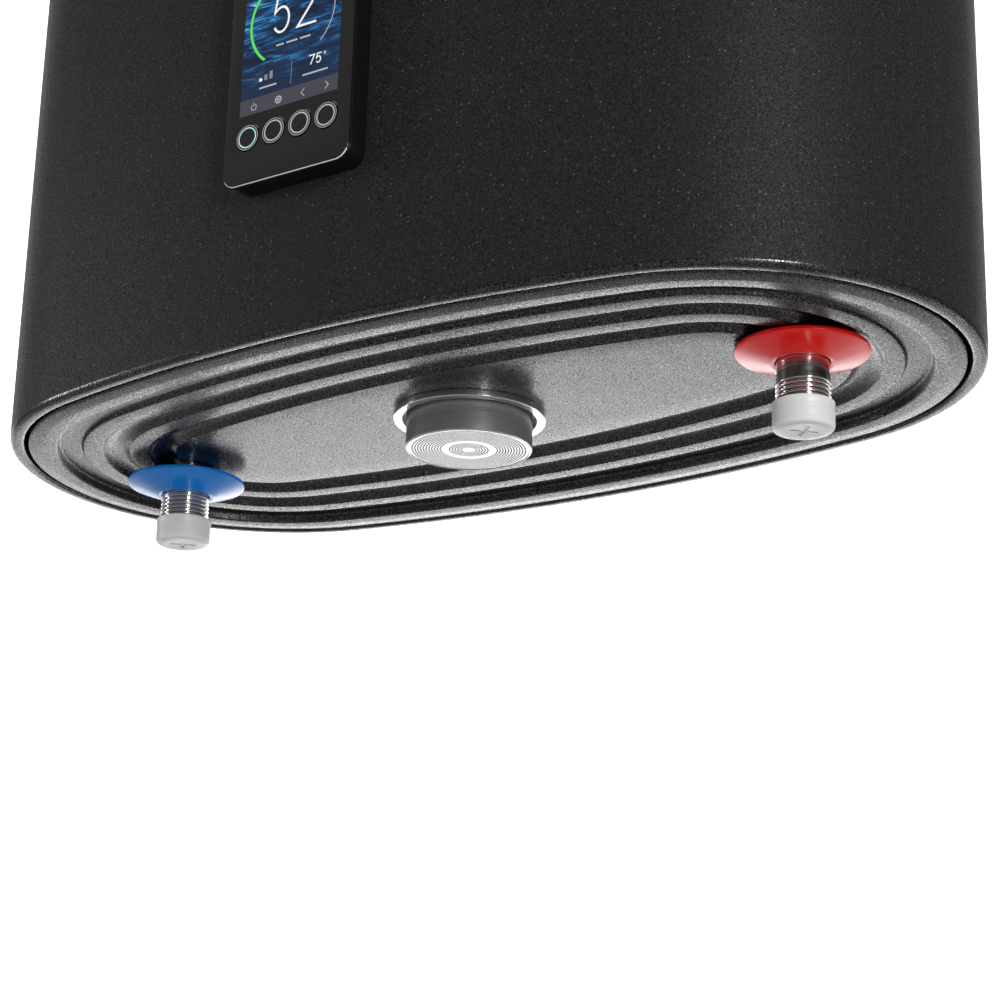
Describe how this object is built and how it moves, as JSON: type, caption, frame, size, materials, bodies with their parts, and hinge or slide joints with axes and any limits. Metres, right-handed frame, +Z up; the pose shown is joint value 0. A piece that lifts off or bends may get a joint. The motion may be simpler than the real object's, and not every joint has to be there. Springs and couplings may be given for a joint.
{
  "type": "tank water heater",
  "caption": "Flat vertical wall-hung electric tank water heater with a colour display, push buttons, a control knob underneath and two capped pipe stubs.",
  "frame": {"origin": "centre of the upper bracket's wall face, midway between its two slots", "axes": "+Z up along the body, +Y out of the back into the wall, +X to the right as seen from the front; the display faces -Y and the pipes point to -Z"},
  "size_m": [0.435, 0.2605, 0.8912],
  "materials": {
    "shell_paint": "satin graphite black with a fine texture",
    "cap_paint": "satin graphite black with a fine texture",
    "foam": "rigid foam with a fine open grain",
    "tank_steel": "brushed stainless with welded seams",
    "pipe_steel": "bright turned stainless",
    "blue_plastic": "glossy moulded",
    "red_plastic": "glossy moulded",
    "cap_plastic": "translucent moulded",
    "flange_steel": "zinc plated",
    "seal_rubber": "matt",
    "element_copper": "bare copper sheath",
    "anode_metal": "dull cast magnesium",
    "well_brass": "drawn tube",
    "sensor_metal": "drawn tube",
    "fastener_zinc": "zinc plated",
    "black_plastic": "fine moulded grain",
    "tray_plastic": "fine moulded grain",
    "board_green": "solder mask",
    "relay_blue": "glossy moulded",
    "terminal_green": "moulded",
    "knob_metal": "dark anodised, brushed round the side",
    "knob_end": "fine turned rings",
    "bezel_metal": "turned, satin",
    "bush_brass": "turned",
    "panel_plastic": "glossy black",
    "panel_glass": "polished black glass",
    "screen": "lit colour display",
    "button_black": "glossy with two bright rings",
    "switch_metal": "stamped",
    "lead_grey": "flat ribbed lead",
    "bracket_steel": "galvanised sheet"
  },
  "bodies": {
    "heater": {"outer_shell": "shell_paint", "top_cap": "cap_paint", "bottom_cap": "cap_paint", "foam_insulation": "foam", "tank_left": "tank_steel", "tank_right": "tank_steel", "transfer_pipe": "tank_steel", "cold_inlet_pipe": "pipe_steel", "inlet_diffuser": "cap_plastic", "hot_outlet_pipe": "pipe_steel", "cold_collar": "blue_plastic", "hot_collar": "red_plastic", "flange_left": "flange_steel", "flange_right": "flange_steel", "flange_gasket_left": "seal_rubber", "flange_gasket_right": "seal_rubber", "heating_element_left": "element_copper", "heating_element_right": "element_copper", "anode_rod_left": "anode_metal", "anode_rod_right": "anode_metal", "thermowell_left": "well_brass", "thermowell_right": "well_brass", "flange_bolts_left": "fastener_zinc", "flange_bolts_right": "fastener_zinc", "temperature_sensor_left": "sensor_metal", "temperature_sensor_right": "sensor_metal", "thermal_cutout": "black_plastic", "board_tray": "tray_plastic", "power_board": "board_green", "relays": "relay_blue", "terminal_block": "terminal_green", "knob_bezel": "bezel_metal", "encoder_body": "board_green", "encoder_bushing": "bush_brass", "encoder_nut": "fastener_zinc", "panel_housing": "panel_plastic", "panel_glass": "panel_glass", "display_module": "screen", "display_board": "board_green", "button_switches": "switch_metal", "panel_screws": "fastener_zinc", "display_lead": "lead_grey", "upper_bracket": "bracket_steel", "lower_bracket": "bracket_steel", "bracket_bolts": "fastener_zinc", "cable_gland": "black_plastic", "gland_nut": "black_plastic"},
    "knob": {"knob_core": "black_plastic", "knob_sleeve": "knob_metal", "knob_face": "knob_end", "knob_shaft": "switch_metal"},
    "key_1": {"button_1": "button_black"},
    "key_2": {"button_2": "button_black"},
    "key_3": {"button_3": "button_black"},
    "key_4": {"button_4": "button_black"},
    "cold_cap": {"cold_transport_cap": "cap_plastic"},
    "hot_cap": {"hot_transport_cap": "cap_plastic"}
  },
  "joints": [
    {"name": "knob_turn", "type": "hinge", "parent": "heater", "child": "knob", "pos_m": [0, -0.133, -0.7], "axis": [0, 0, 1], "range_deg": [-135, 135]},
    {"name": "key_1_press", "type": "slide", "parent": "heater", "child": "key_1", "axis": [0, 1, 0], "range_m": [0, 0.0008], "stiffness_N_per_m": 600, "springref_m": -0.0005},
    {"name": "key_2_press", "type": "slide", "parent": "heater", "child": "key_2", "axis": [0, 1, 0], "range_m": [0, 0.0008], "stiffness_N_per_m": 600, "springref_m": -0.0005},
    {"name": "key_3_press", "type": "slide", "parent": "heater", "child": "key_3", "axis": [0, 1, 0], "range_m": [0, 0.0008], "stiffness_N_per_m": 600, "springref_m": -0.0005},
    {"name": "key_4_press", "type": "slide", "parent": "heater", "child": "key_4", "axis": [0, 1, 0], "range_m": [0, 0.0008], "stiffness_N_per_m": 600, "springref_m": -0.0005},
    {"name": "cold_cap_pull", "type": "slide", "parent": "heater", "child": "cold_cap", "axis": [0, 0, -1], "range_m": [0, 0.04]},
    {"name": "hot_cap_pull", "type": "slide", "parent": "heater", "child": "hot_cap", "axis": [0, 0, -1], "range_m": [0, 0.04]}
  ]
}
